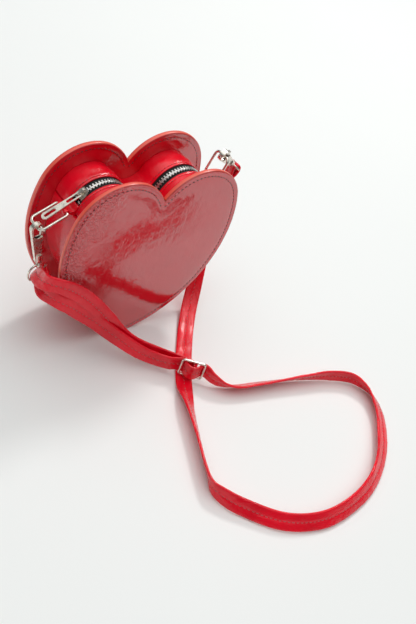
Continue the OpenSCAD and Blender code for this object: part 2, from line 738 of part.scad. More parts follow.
// The strap: an eight sided section swept along the rows
edge_cut = 0.5;
strap_section = [[strap_w / 2, strap_t / 2 - edge_cut], [strap_w / 2 - edge_cut, strap_t / 2],
  [edge_cut - strap_w / 2, strap_t / 2], [-strap_w / 2, strap_t / 2 - edge_cut],
  [-strap_w / 2, edge_cut - strap_t / 2], [edge_cut - strap_w / 2, -strap_t / 2],
  [strap_w / 2 - edge_cut, -strap_t / 2], [strap_w / 2, edge_cut - strap_t / 2]];
sides = len(strap_section);
function along(i) = unit(strap_rows[min(i + 1, len(strap_rows) - 1)][0] - strap_rows[max(i - 1, 0)][0]);
function ring_at(i) =
  let (t = along(i), w = square_to(strap_rows[i][1], t), n = cross(t, w))
  [for (p = strap_section) strap_rows[i][0] + p.x * w + p.y * n];
module strap() {
  last = len(strap_rows) - 1;
  color("crimson") polyhedron(
    points = [for (i = [0 : last]) each ring_at(i)],
    faces = concat(
      [[for (k = [0 : sides - 1]) k]],
      [for (i = [0 : last - 1]) for (k = [0 : sides - 1]) let (m = (k + 1) % sides)
        each [[i * sides + k, (i + 1) * sides + k, i * sides + m],
          [i * sides + m, (i + 1) * sides + k, (i + 1) * sides + m]]],
      [[for (k = [sides - 1 : -1 : 0]) last * sides + k]]));
}

front_outer_leather();
front_board();
front_inner_leather();
back_outer_leather();
back_board();
back_inner_leather();
gusset_front_strip();
gusset_rear_strip();
gusset_lower();
lining();
zip_tape_front();
zip_tape_rear();
zip_teeth_front();
zip_teeth_rear();
zip_stops();
zip_slider();
zip_puller();
left_tab();
left_ring();
left_hook();
left_gate();
left_gate_pin();
left_gate_spring();
left_swivel();
left_strap_ring();
right_tab();
right_ring();
right_hook();
right_gate();
right_gate_pin();
right_gate_spring();
right_swivel();
right_strap_ring();
strap();
adjuster();
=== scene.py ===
# Heart shaped purse in red patent leather: two stiff heart panels, a gusset set in
# between them, a metal zipper over the lobes and a clip-on shoulder strap.
from math import acos, asin, cos, degrees, exp, pi, radians, sin, sqrt

import bmesh
import bpy
import numpy as np
from mathutils import Matrix, Vector, noise


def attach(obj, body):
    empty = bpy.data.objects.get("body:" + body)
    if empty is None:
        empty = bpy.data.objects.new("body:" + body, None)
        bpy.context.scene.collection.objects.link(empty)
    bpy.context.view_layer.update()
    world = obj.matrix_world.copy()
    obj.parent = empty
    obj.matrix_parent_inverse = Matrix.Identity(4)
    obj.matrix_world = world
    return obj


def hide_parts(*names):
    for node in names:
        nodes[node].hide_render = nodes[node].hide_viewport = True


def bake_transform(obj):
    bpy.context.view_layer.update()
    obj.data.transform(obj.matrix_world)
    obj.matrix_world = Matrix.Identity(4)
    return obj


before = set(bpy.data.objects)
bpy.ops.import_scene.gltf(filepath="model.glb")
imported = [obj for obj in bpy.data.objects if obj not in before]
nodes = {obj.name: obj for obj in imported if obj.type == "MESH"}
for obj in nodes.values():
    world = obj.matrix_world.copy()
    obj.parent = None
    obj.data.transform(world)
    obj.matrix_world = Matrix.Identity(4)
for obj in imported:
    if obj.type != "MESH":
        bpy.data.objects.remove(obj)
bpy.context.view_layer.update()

# Camera: it stands in front of the purse, to its left and well above it, and is
# tilted to one side.
right = Vector((0.76979, -0.57149, 0.28431))
down = Vector((-0.22906, -0.66308, -0.71264))
ahead = Vector((0.59578, 0.48346, -0.64133))
camera = bpy.data.objects.new("camera", bpy.data.cameras.new("camera"))
camera.matrix_world = (Matrix.Translation((-0.45962, -0.50078, 0.60783))
                       @ Matrix((right, -down, -ahead)).transposed().to_4x4())
camera.data.sensor_fit = "VERTICAL"
camera.data.sensor_height = 36
camera.data.lens = 49.855
bpy.context.scene.collection.objects.link(camera)
bpy.context.scene.camera = camera


# Patent leather: a thin red skin under a thick clear film. The film is glossy and
# slightly rippled, creases where it was folded, and takes fine hair lines in use.
class Wire:
    """A value inside a material. Sums on it add the nodes that work them out."""

    def __init__(self, tree, socket=None):
        self.tree = tree
        self.socket = socket

    def node(self, kind, settings=None, sockets=None, out=0):
        made = self.tree.nodes.new(kind)
        for name, value in (settings or {}).items():
            if name == "stops":
                ramp = made.color_ramp
                while len(ramp.elements) < len(value):
                    ramp.elements.new(1)
                for element, (place, colour) in zip(ramp.elements, value):
                    element.position = place
                    element.color = (*colour, 1) if hasattr(colour, "__len__") else (colour,) * 3 + (1,)
            else:
                setattr(made, name, value)
        for name, value in (sockets or {}).items():
            if isinstance(value, Wire):
                self.tree.links.new(value.socket, made.inputs[name])
            else:
                made.inputs[name].default_value = value
        return Wire(self.tree, made.outputs[out] if len(made.outputs) else None)

    def sum(self, operation, a, b):
        return self.node("ShaderNodeMath", {"operation": operation}, {0: a, 1: b})

    def __add__(self, other):
        return self.sum("ADD", self, other)

    def __radd__(self, other):
        return self.sum("ADD", other, self)

    def __sub__(self, other):
        return self.sum("SUBTRACT", self, other)

    def __rsub__(self, other):
        return self.sum("SUBTRACT", other, self)

    def __mul__(self, other):
        return self.sum("MULTIPLY", self, other)

    def __rmul__(self, other):
        return self.sum("MULTIPLY", other, self)


def finish(name):
    """A new, empty material, the wire to build it with, and the place on the object."""
    material = bpy.data.materials.new(name)
    material.use_nodes = True
    material.node_tree.nodes.clear()
    wire = Wire(material.node_tree)
    return material, wire, wire.node("ShaderNodeTexCoord", out=3)


def mixed(wire, factor, a, b):
    a = (*a, 1) if isinstance(a, tuple) else a
    b = (*b, 1) if isinstance(b, tuple) else b
    return wire.node("ShaderNodeMix", {"data_type": "RGBA"}, {0: factor, 6: a, 7: b}, out=2)


def close(wire, sockets):
    surface = wire.node("ShaderNodeBsdfPrincipled", {}, sockets)
    wire.node("ShaderNodeOutputMaterial", {}, {"Surface": surface})


def patent_leather(name, red, deep, ripple, crease, ior, film=0.2, streak=1500.0, haze=0.05, rubbed=0.0):
    material, wire, place = finish(name)
    cloudy = wire.node("ShaderNodeTexNoise", {}, {"Vector": place, "Scale": 26.0, "Detail": 3.0})
    pebble = wire.node("ShaderNodeTexNoise", {}, {"Vector": place, "Scale": 900.0, "Detail": 2.0})
    swell = wire.node("ShaderNodeTexNoise", {}, {
        "Vector": place, "Scale": 110.0, "Detail": 2.0, "Distortion": 0.6})
    grainy = wire.node("ShaderNodeMapping", {}, {"Vector": place, "Scale": (1.0, 1.0, 0.12)})
    hair = wire.node("ShaderNodeTexNoise", {}, {"Vector": grainy, "Scale": streak, "Detail": 1.0})
    warped = wire.node("ShaderNodeVectorMath", {"operation": "ADD"}, {
        0: place, 1: wire.node("ShaderNodeVectorMath", {"operation": "SCALE"}, {0: swell, "Scale": 0.02})})
    cells = wire.node("ShaderNodeTexVoronoi", {"feature": "DISTANCE_TO_EDGE"}, {
        "Vector": warped, "Scale": 42.0})
    line = wire.node("ShaderNodeValToRGB", {"stops": [(0.0, 1.0), (0.035, 0.0)]}, {0: cells})
    some = wire.node("ShaderNodeTexNoise", {}, {"Vector": place, "Scale": 14.0, "Detail": 2.0})
    worn = wire.node("ShaderNodeValToRGB", {"stops": [(0.56, 0.0), (0.7, 1.0)]}, {0: some})
    height = (swell * (0.9 * ripple) + pebble * (0.10 * ripple) + hair * (0.3 * ripple)
              - line * worn * (0.5 * crease))
    if rubbed:
        # Along the front's left margin the film is rubbed, and breaks up in fine flakes
        away = wire.node("ShaderNodeVectorMath", {"operation": "DISTANCE"}, {
            0: place, 1: (0.04, 0.1, 0.10)}, out=1)
        drift = wire.node("ShaderNodeTexNoise", {}, {"Vector": place, "Scale": 60.0, "Detail": 3.0})
        margin = wire.node("ShaderNodeValToRGB", {"stops": [(0.175, 0.0), (0.189, 1.0)]}, {
            0: away + (drift - 0.5) * 0.02})
        flake = wire.node("ShaderNodeTexNoise", {}, {
            "Vector": place, "Scale": 380.0, "Detail": 1.0, "Distortion": 0.8})
        height = height + flake * margin * rubbed
    bump = wire.node("ShaderNodeBump", {}, {"Height": height, "Strength": 0.5, "Distance": 0.0004})
    tone = wire.node("ShaderNodeValToRGB", {"stops": [(0.35, 0.0), (0.7, 1.0)]}, {0: cloudy})
    close(wire, {
        "Base Color": mixed(wire, tone, red, deep),
        "Roughness": hair * 0.1 + (line * worn * 0.1 + haze),
        "IOR": ior,
        "Coat Weight": film,
        "Coat Roughness": 0.4 * haze,
        "Coat IOR": 1.5,
        "Normal": bump,
    })
    return material


red_face = patent_leather("patent_face", (0.66, 0.002, 0.012), (0.6, 0.001, 0.01), ripple=1.6, crease=0.5,
                          ior=2.1, film=0.15, streak=650.0, haze=0.04, rubbed=17.0)
red_strap = patent_leather("patent_strap", (0.95, 0.003, 0.022), (0.72, 0.001, 0.014), ripple=5.0,
                           crease=3.5, ior=1.4)
red_gusset = patent_leather("patent_gusset", (0.9, 0.003, 0.02), (0.66, 0.001, 0.012), ripple=2.4,
                            crease=2.0, ior=1.5)


# Sewing thread: twisted polyester, dark red on the panels and the gusset, rose on
# the strap. It lies in short stitches whose ends sink into their holes.
def thread(name, colour):
    material, wire, place = finish(name)
    twist = wire.node("ShaderNodeTexWave", {"bands_direction": "DIAGONAL"}, {
        "Vector": place, "Scale": 900.0})
    bump = wire.node("ShaderNodeBump", {}, {"Height": twist, "Strength": 0.6, "Distance": 0.0002})
    dark = tuple(0.45 * c for c in colour)
    close(wire, {
        "Base Color": mixed(wire, twist, dark, colour),
        "Roughness": 0.55,
        "Sheen Weight": 0.3,
        "Normal": bump,
    })
    return material


dark_thread = thread("thread_dark", (0.16, 0.004, 0.01))
rose_thread = thread("thread_rose", (0.75, 0.12, 0.13))
mm = 0.001


def tube(rows, count, capped=True):
    """Faces between rings of count points each, with the two ends closed or left open."""
    faces = []
    for i in range(rows - 1):
        for k in range(count):
            m = (k + 1) % count
            faces.append((i * count + k, i * count + m, (i + 1) * count + m, (i + 1) * count + k))
    if capped:
        faces.append(tuple(range(count)))
        faces.append(tuple(range(rows * count - 1, (rows - 1) * count - 1, -1)))
    return faces


def unit(v):
    return v / max(np.linalg.norm(v), 1e-12)


def stitches(line, up, pitch, length, radius):
    """Points and faces of a row of stitches along a line, with up the way out of the leather."""
    form = ((0.45, -0.9), (0.95, 0.1), (1.0, 0.35), (0.95, 0.1), (0.45, -0.9))  # width and height, in radii
    sides = 6
    line = np.array(line, float)
    steps = np.concatenate([[0], np.cumsum(np.linalg.norm(np.diff(line, axis=0), axis=1))])
    points, faces = [], []
    for k in range(int(steps[-1] / pitch)):
        mid = (k + 0.5) * pitch
        at = [mid + length * (j / (len(form) - 1) - 0.5) for j in range(len(form))]
        spot = np.array([[np.interp(a, steps, line[:, c]) for c in range(3)] for a in at])
        lift = unit(np.array([np.interp(mid, steps, np.array(up)[:, c]) for c in range(3)]))
        way = unit(spot[-1] - spot[0])
        side = unit(np.cross(way, lift))
        faces += [tuple(len(points) + n for n in face) for face in tube(len(form), sides)]
        for j, (width, rise) in enumerate(form):
            for turn in range(sides):
                a = turn * pi / 3
                points.append(spot[j] + radius * (width * (cos(a) * side + sin(a) * lift) + rise * lift))
    return points, faces


# Strap: one long strip of patent leather, folded and sewn along its middle. It is
# sewn round the slide's bar, runs to the left clip's ring and back through the
# slide, lies on the table in a loop and climbs to the right clip's ring.
strap_w = 17 * mm
strap_t = 2.6 * mm
upper_rows = [
    ((0.009, -0.092, 0.015), (0, 0, 1)),
    ((-0.005, -0.082, 0.019), (0, 0, 1)),
    ((-0.021, -0.071, 0.025), (0.1, 0, 1)),
    ((-0.034, -0.062, 0.035), (0.2, 0, 1)),
    ((-0.046, -0.055, 0.05), (0.3, 0, 1)),
    ((-0.062, -0.048, 0.068), (0.3, 0, 1)),
    ((-0.08, -0.043, 0.084), (0.25, 0, 1)),
    ((-0.095, -0.039, 0.092), (0.1, 0, 1)),
    ((-0.104, -0.031, 0.092), (0.1, 0, 1)),
    ((-0.105, -0.019, 0.087), (0.4, 0, 0.9)),
]
lower_rows = [
    ((-0.1, -0.018, 0.072), (0.5, 0, 0.85)),
    ((-0.098, -0.028, 0.072), (0.15, 0, 1)),
    ((-0.093, -0.036, 0.071), (0.1, 0, 1)),
    ((-0.084, -0.041, 0.067), (0.2, 0, 1)),
    ((-0.072, -0.045, 0.058), (0.3, 0, 1)),
    ((-0.058, -0.051, 0.048), (0.3, 0, 1)),
    ((-0.045, -0.06, 0.038), (0.3, 0, 1)),
    ((-0.032, -0.07, 0.029), (0.2, 0, 1)),
    ((-0.019, -0.08, 0.021), (0.1, 0, 1)),
    ((-0.004, -0.09, 0.015), (0, 0, 1)),
    ((0.009, -0.101, 0.0145), (0, 0, 1)),
]
loop_rows = [
    ((0.0395, -0.1315, 0.0125), (-0.1, -0.2, 1)),
    ((0.0475, -0.1415, 0.009), (-0.2, -0.5, 0.8)),
    ((0.06, -0.148, 0.008), (-0.2, -0.7, 0.7)),
    ((0.08, -0.153, 0.008), (-0.2, -0.7, 0.7)),
    ((0.111, -0.16, 0.0085), (-0.2, -0.6, 0.8)),
    ((0.142, -0.168, 0.0095), (-0.1, -0.4, 0.9)),
    ((0.172, -0.178, 0.01), (-0.1, -0.1, 1)),
    ((0.193, -0.191, 0.0095), (-0.3, 0, 0.95)),
    ((0.2, -0.21, 0.008), (-0.6, 0.1, 0.8)),
    ((0.192, -0.234, 0.007), (-0.8, 0.1, 0.6)),
    ((0.174, -0.257, 0.0065), (-0.8, 0.2, 0.5)),
    ((0.15, -0.279, 0.0075), (-0.7, 0.3, 0.6)),
    ((0.118, -0.298, 0.008), (-0.3, 0.6, 0.75)),
    ((0.078, -0.309, 0.0085), (0, 0.6, 0.75)),
    ((0.038, -0.309, 0.0085), (0.2, 0.6, 0.75)),
    ((0.004, -0.295, 0.0085), (0.3, 0.5, 0.8)),
    ((-0.02, -0.27, 0.0085), (0.3, 0.4, 0.85)),
    ((-0.033, -0.251, 0.0095), (0.2, 0.3, 0.95)),
    ((-0.037, -0.236, 0.0095), (-0.1, 0.2, 0.95)),
    ((-0.031, -0.22, 0.009), (-0.3, 0.2, 0.9)),
    ((-0.021, -0.197, 0.009), (-0.4, 0.2, 0.9)),
    ((-0.01, -0.172, 0.0085), (-0.5, 0.2, 0.85)),
    ((0.001, -0.147, 0.007), (-0.6, 0.3, 0.6)),
    ((0.014, -0.123, 0.0022), (-0.8, 0.5, 0.05)),
    ((0.028, -0.102, 0.0018), (-0.8, 0.6, 0)),
    ((0.046, -0.078, 0.0018), (-0.8, 0.6, 0)),
    ((0.066, -0.053, 0.003), (-0.8, 0.6, 0)),
    ((0.082, -0.034, 0.009), (-0.8, 0.6, 0)),
    ((0.091, -0.023, 0.022), (-0.85, 0.5, 0)),
    ((0.098, -0.013, 0.04), (-0.9, 0.4, 0)),
    ((0.104, -0.003, 0.064), (-0.8, 0.6, 0)),
    ((0.109, 0.006, 0.09), (-0.6, 0.8, 0)),
    ((0.115, 0.013, 0.115), (-0.3, 0.95, -0.1)),
    ((0.123, 0.017, 0.134), (0, 1, -0.15)),
]
slide_mid = np.array((0.0245, -0.116, 0.015))
slide_way = np.array((cos(radians(-41.3)), sin(radians(-41.3)), 0))
slide_side = np.array((-slide_way[1], slide_way[0], 0))
slide_half = 11.5 * mm
bar_turn = 2.85 * mm
over_turn = 6.15 * mm
d_turn = 2.65 * mm
weave = asin((bar_turn + over_turn) / slide_half)


def by_slide(t, n):
    return slide_mid + t * slide_way + n * slide_side, (0, 0, 1)


def round_bar(mid, way, away, side):
    turns = [radians(a) for a in range(-90, 91, 45)]
    across = np.cross(way, away)
    return [(mid + d_turn * (cos(a) * away + side * sin(a) * across), way) for a in turns]


left_d = np.array((-0.09775, -0.003, 0.0796))
left_d_way = np.array((0.67172, 0, 0.7408))
left_away = np.array((0.16107, 0.97608, -0.14605))
right_d = np.array((0.13161, 0.01867, 0.1481))
right_d_way = np.array((0.29205, 0.92978, -0.2241))
right_away = np.array((0.50311, 0.04992, 0.86278))
sewn_rows = [by_slide(bar_turn * cos(radians(a)), bar_turn * sin(radians(a))) for a in range(-90, 91, 45)]
sewn_rows.append(by_slide(-slide_half, bar_turn + strap_t + 0.35 * mm))
weave_rows = [
    by_slide(-slide_half, bar_turn),
    by_slide(-slide_half + bar_turn * sin(weave), bar_turn * cos(weave)),
    by_slide(-over_turn * sin(weave), -over_turn * cos(weave)),
    by_slide(0, -over_turn),
    by_slide(over_turn * sin(weave), -over_turn * cos(weave)),
    by_slide(slide_half - bar_turn * sin(weave), bar_turn * cos(weave)),
    by_slide(slide_half, bar_turn),
    by_slide(slide_half + bar_turn * sin(radians(20)), bar_turn * cos(radians(20))),
]
right_rows = round_bar(right_d, right_d_way, right_away, 1)
tail = (right_rows[4][0] - 12 * mm * right_away, right_d_way)
rows = (sewn_rows + upper_rows + round_bar(left_d, left_d_way, left_away, -1) + lower_rows
        + weave_rows + loop_rows + right_rows + [tail])

# The smooth line through the rows, with a section at most every 3 mm
section_step = 2.2 * mm
marks_at = np.array([np.array(p, float) for p, _ in rows])
widths = np.array([np.array(w, float) for _, w in rows])
chord = np.concatenate([[0], np.cumsum(np.linalg.norm(np.diff(marks_at, axis=0), axis=1))])


def slopes(values):
    got = np.zeros_like(values)
    for i in range(len(values)):
        a, b = max(i - 1, 0), min(i + 1, len(values) - 1)
        if 0 < i < len(values) - 1:
            h0, h1 = chord[i] - chord[a], chord[b] - chord[i]
            got[i] = ((values[i] - values[a]) / h0 * h1 + (values[b] - values[i]) / h1 * h0) / (h0 + h1)
        else:
            got[i] = (values[b] - values[a]) / (chord[b] - chord[a])
    return got


line_slope, width_slope = slopes(marks_at), slopes(widths)
line, across, row_start = [], [], []
for i in range(len(rows) - 1):
    row_start.append(len(line))
    span = chord[i + 1] - chord[i]
    count = max(3, int(span / section_step))
    for k in range(count):
        u = k / count
        h = (2 * u**3 - 3 * u**2 + 1, (u**3 - 2 * u**2 + u) * span,
             3 * u**2 - 2 * u**3, (u**3 - u**2) * span)
        for got, values, slope in ((line, marks_at, line_slope), (across, widths, width_slope)):
            got.append(h[0] * values[i] + h[1] * slope[i] + h[2] * values[i + 1] + h[3] * slope[i + 1])
row_start.append(len(line))
line.append(marks_at[-1])
across.append(widths[-1])
line, across = np.array(line), np.array(across)
end = len(line) - 1
ways = np.array([unit(line[min(i + 1, end)] - line[max(i - 1, 0)]) for i in range(end + 1)])
across = np.array([unit(w - np.dot(w, t) * t) for w, t in zip(across, ways)])
fronts = np.cross(ways, across)
run = np.concatenate([[0], np.cumsum(np.linalg.norm(np.diff(line, axis=0), axis=1))])
near = [(max(i - 3, 0), min(i + 3, end)) for i in range(end + 1)]
bend = [np.linalg.norm(ways[b] - ways[a]) / (run[b] - run[a]) for a, b in near]

# Across the strap: (share of the half width, share of the half thickness). The two
# halves are a little padded, and the seam lies in a groove between them.
half_section = [(-1.0, 0.0), (-0.99, 0.42), (-0.955, 0.78), (-0.89, 0.97), (-0.78, 1.06), (-0.6, 1.08),
                (-0.4, 1.06), (-0.22, 0.99), (-0.1, 0.88), (-0.04, 0.72), (0.04, 0.72), (0.1, 0.88),
                (0.22, 0.99), (0.4, 1.06), (0.6, 1.08), (0.78, 1.06), (0.89, 0.97), (0.955, 0.78),
                (0.99, 0.42)]
section = half_section + [(-u, -v) for u, v in half_section]
seam_rise = 0.74


def crumple(i, u):
    fold = min(1.0, bend[i] * 16 * mm)
    broad = noise.noise(Vector((run[i] / (26 * mm), u * 1.3, 3.1)))
    pleat = noise.noise(Vector((run[i] / (5 * mm), u * 0.9, 7.7)))
    ribs = max(0.0, noise.noise(Vector((run[i] / (70 * mm), 0.5, 11.0))) + 0.1)
    return (0.16 * broad + (0.12 + 0.42 * fold + 0.5 * ribs) * pleat) * mm


def piece(name, points, faces, materials, body, marks=None):
    mesh = bpy.data.meshes.new(name)
    mesh.from_pydata([tuple(p) for p in points], [], [tuple(f) for f in faces])
    for material in materials:
        mesh.materials.append(material)
    if marks is not None:
        mesh.polygons.foreach_set("material_index", marks)
    work = bmesh.new()
    work.from_mesh(mesh)
    bmesh.ops.remove_doubles(work, verts=work.verts, dist=2e-6)
    bmesh.ops.recalc_face_normals(work, faces=work.faces)
    work.to_mesh(mesh)
    work.free()
    mesh.polygons.foreach_set("use_smooth", [len(f.vertices) < 5 for f in mesh.polygons])
    made = bpy.data.objects.new(name, mesh)
    bpy.context.scene.collection.objects.link(made)
    if body:
        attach(made, body)
    return made


def strap_part(name, first, last, body=None):
    start, stop = row_start[first], row_start[last]
    points = []
    cut = 0.03 * mm
    for i, past in [(start, -cut)] + [(i, 0) for i in range(start, stop + 1)] + [(stop, cut)]:
        for u, v in section:
            flat = crumple(i, u) * (1 if abs(v) > 0.6 else 0.3)
            points.append(line[i] + ways[i] * past + across[i] * u * strap_w / 2
                          + fronts[i] * (v * strap_t / 2 * (0.94 if abs(u) > 0.9 else 1) + flat))
    faces = tube(stop - start + 3, len(section))
    marks = [0] * len(faces)
    for side in (1, -1):
        seam = [line[i] + fronts[i] * (side * seam_rise * strap_t / 2 + crumple(i, 0))
                for i in range(start, stop + 1)]
        more, sewn = stitches(seam, fronts[start:stop + 1] * side, pitch=4.2 * mm, length=2.9 * mm,
                              radius=0.3 * mm)
        faces += [tuple(len(points) + k for k in f) for f in sewn]
        points += more
        marks += [1] * len(sewn)
    made = piece(name, points, faces, [red_strap, rose_thread], body, marks)
    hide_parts("strap")
    return made, line[start:stop + 1], float(run[stop] - run[start])


# The strap's seven pieces, each from one row to the row where the next one starts
sewn_end, path, length = strap_part("strap_sewn_end", 0, 11)
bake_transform(sewn_end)
left_turn, path, length = strap_part("strap_left_turn", 11, 26)
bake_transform(left_turn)
under, path, length = strap_part("strap_through_slide", 26, 35)
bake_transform(under)
leave, path, length = strap_part("strap_past_slide", 35, 45)
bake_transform(leave)
loop, path, length = strap_part("strap_loop", 45, 63, "bag")
rise, path, length = strap_part("strap_rise", 63, 69, "bag")
right_turn, path, length = strap_part("strap_right_turn", 69, len(rows) - 1)
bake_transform(right_turn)


# Heart panels: two stiff hearts, each a board between an outer and an inner skin
# of patent leather. The skins are sewn together 5.5 mm in from the edge.
lobe_r = 50 * mm
lobe_x = 44 * mm
side_r = 122 * mm
side_angle = 18
face_y = 34 * mm
inner_y = 29 * mm
leather_t = 1.2 * mm
side_cx = lobe_x - (side_r - lobe_r) * cos(radians(side_angle))
side_cz = sqrt(side_r**2 - side_cx**2)
lobe_z = side_cz + (side_r - lobe_r) * sin(radians(side_angle))
notch_z = lobe_z + sqrt(lobe_r**2 - lobe_x**2)
notch_angle = degrees(asin((notch_z - lobe_z) / lobe_r))
stitch_in = 5.5 * mm
middle_z = 0.105


def heart_line(inset, fine=1.0):
    """The heart's outline, or a line inside it, from the notch round the right side to the tip and back."""
    notch_steps, lobe_steps, side_steps = int(8 * fine), int(46 * fine), int(44 * fine)
    half = []
    for k in range(notch_steps + 1):
        a = radians(-90 + (90 - notch_angle) * k / notch_steps)
        half.append((inset * cos(a), notch_z + inset * sin(a)))
    for k in range(1, lobe_steps + 1):
        a = radians(180 - notch_angle + (side_angle - 180 + notch_angle) * k / lobe_steps)
        half.append((lobe_x + (lobe_r - inset) * cos(a), lobe_z + (lobe_r - inset) * sin(a)))
    tip = -degrees(acos(-side_cx / (side_r - inset)))
    for k in range(1, side_steps + 1):
        a = radians(side_angle + (tip - side_angle) * k / side_steps)
        half.append((side_cx + (side_r - inset) * cos(a), side_cz + (side_r - inset) * sin(a)))
    return np.array(half + [(-x, z) for x, z in half[-2:0:-1]])


def wavy(x, z, seed, size):
    broad = noise.noise(Vector((x / (30 * mm), z / (22 * mm), seed)))
    small = noise.noise(Vector((x / (9 * mm), z / (7 * mm), seed + 5)))
    return size * (broad + 0.3 * small)


def padding(inset, rise):
    """How far a skin bulges at a distance inside the edge: it starts at the row of stitches."""
    return rise * (1 - exp(-max(0.0, inset - stitch_in - 0.4 * mm) / (7 * mm)))


def heart_skin(name, rims, seed, node, wave=0.14 * mm, rise=0.9 * mm):
    """A heart shaped skin. rims are (inset, y) from its hidden side round the edge to its show side."""
    rings = [(heart_line(inset), y, inset) for inset, y in rims]
    points = []
    count = len(rings[0][0])
    centre = np.array((0, middle_z))
    last, show, inset = rings[-1]
    hidden = rims[0][1]
    out = 1 if show > hidden else -1
    steps = 26
    reach = 0.1
    for k in range(1, steps):
        share = 1 - k / steps
        rings.append((centre + (last - centre) * share, show, inset + (1 - share) * reach))
    for outline, y, inset in rings:
        for x, z in outline:
            flat = max(0.0, min(1.0, (inset - 2 * mm) / (6 * mm)))
            points.append((x, y + out * (flat * wavy(x, z, seed, wave) + padding(inset, rise)), z))
    faces = tube(len(rings), count, capped=False)
    points.append((centre[0], show + out * (wavy(*centre, seed, wave) + rise), centre[1]))
    points.append((centre[0], hidden, centre[1]))
    top = (len(rings) - 1) * count
    for k in range(count):
        m = (k + 1) % count
        faces.append((top + k, top + m, len(points) - 2))
        faces.append((m, k, len(points) - 1))
    made = piece(name, points, faces, [red_face], "bag")
    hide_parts(node)


def skin_rims(hidden, show):
    out = 1 if show > hidden else -1
    # (inset, height) in mm: the rounded edge, then the groove that the stitches pull in
    edge = [(2.0, 0), (0.12, 0), (0.1, 0.35), (0.2, 0.75), (0.5, 1.05), (1.0, 1.18), (1.8, 1.2), (3.2, 1.2),
            (4.5, 1.19), (5.1, 1.08), (5.5, 0.98), (5.9, 1.08), (6.5, 1.19), (8.0, 1.2), (10.0, 1.2),
            (12.5, 1.2), (15.0, 1.2)]
    return [(inset * mm, hidden + out * y * mm) for inset, y in edge]


heart_skin("front_skin", skin_rims(-face_y + leather_t, -face_y), 1.7, "front_outer_leather")
heart_skin("back_skin", skin_rims(face_y - leather_t, face_y), 4.2, "back_outer_leather")
heart_skin("front_inner_skin", skin_rims(-inner_y - leather_t, -inner_y), 8.1, "front_inner_leather",
           rise=0.0)
heart_skin("back_inner_skin", skin_rims(inner_y + leather_t, inner_y), 6.3, "back_inner_leather",
           wave=0.22 * mm, rise=0.0)

# Board and painted edge: the stacked edges are sanded, and painted in a coral red
# that turns brown where it meets the film of the outer skin.
edge_paint, wire, place = finish("edge_paint")
grain = wire.node("ShaderNodeTexNoise", {}, {"Vector": place, "Scale": 420.0, "Detail": 3.0})
drip = wire.node("ShaderNodeTexNoise", {}, {"Vector": place, "Scale": 60.0, "Detail": 2.0})
across_edge = wire.node("ShaderNodeSeparateXYZ", {}, {0: place}, out=1)
depth = wire.sum("ABSOLUTE", across_edge, 0.0)
edge_from = 0.0293
outward = (depth - edge_from + drip * 0.0006) * 210.0  # from 0 at the inner skin to 1 at the outer skin
brown = wire.node("ShaderNodeValToRGB", {"stops": [(0.0, 0.0), (0.72, 0.0), (1.0, 1.0)]}, {0: outward})
close(wire, {
    "Base Color": mixed(wire, brown, (0.9, 0.115, 0.075), (0.36, 0.035, 0.02)),
    "Roughness": grain * 0.2 + 0.25,
    "Coat Weight": 0.3,
    "Coat Roughness": 0.2,
    "Normal": wire.node("ShaderNodeBump", {}, {"Height": grain, "Strength": 0.4, "Distance": 0.0003}),
})


def painted_edge(name, side, node):
    # (inset, distance from the middle of the bag) in mm
    profile = [(3.0, 30.4), (0.6, 29.5), (0.16, 29.42), (-0.1, 29.75), (-0.24, 30.4), (-0.3, 31.2),
               (-0.3, 31.9), (-0.24, 32.6), (-0.1, 33.2), (0.14, 33.58), (0.6, 33.5), (3.0, 32.6)]
    rings = [(heart_line(inset * mm), side * y * mm) for inset, y in profile]
    count = len(rings[0][0])
    points = [(x, y, z) for outline, y in rings for x, z in outline]
    points += [(0, rings[0][1], middle_z), (0, rings[-1][1], middle_z)]
    faces = tube(len(rings), count, capped=False)
    far = (len(rings) - 1) * count
    for k in range(count):
        m = (k + 1) % count
        faces.append((m, k, len(points) - 2))
        faces.append((far + k, far + m, len(points) - 1))
    made = piece(name, points, faces, [edge_paint], "bag")
    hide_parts(node)


painted_edge("front_painted_edge", -1, "front_board")
painted_edge("back_painted_edge", 1, "back_board")

# Stitching round the panels: one row of dark red polyester thread on each face,
# sewn through leather, board and leather a little in from the painted edge.
ring = heart_line(stitch_in, 2.0)
sunk = 0.12
for name, y, out in (("front_face_stitches", -face_y, -1), ("back_face_stitches", face_y, 1),
                     ("front_inner_stitches", -inner_y, 1), ("back_inner_stitches", inner_y, -1)):
    row = [(x, y - out * sunk * mm, z) for x, z in np.vstack([ring, ring[:1]])]
    points, faces = stitches(row, [(0, out, 0)] * len(row), pitch=4.3 * mm, length=2.8 * mm, radius=0.4 * mm)
    made = piece(name, points, faces, [dark_thread], "bag")


# Gusset: strips of softer patent leather, cut on the curve and sewn between the
# panels. They pucker at the seam, and the two upper ones are turned in beside the zipper.
gusset_in = 19 * mm
gusset_t = 1.6 * mm
split_z = lobe_z + 4 * mm
hidden_rise = -0.9 * mm


def by_zipper(x, z):
    return z > split_z or abs(x) < lobe_x / 2 and z > lobe_z - lobe_r


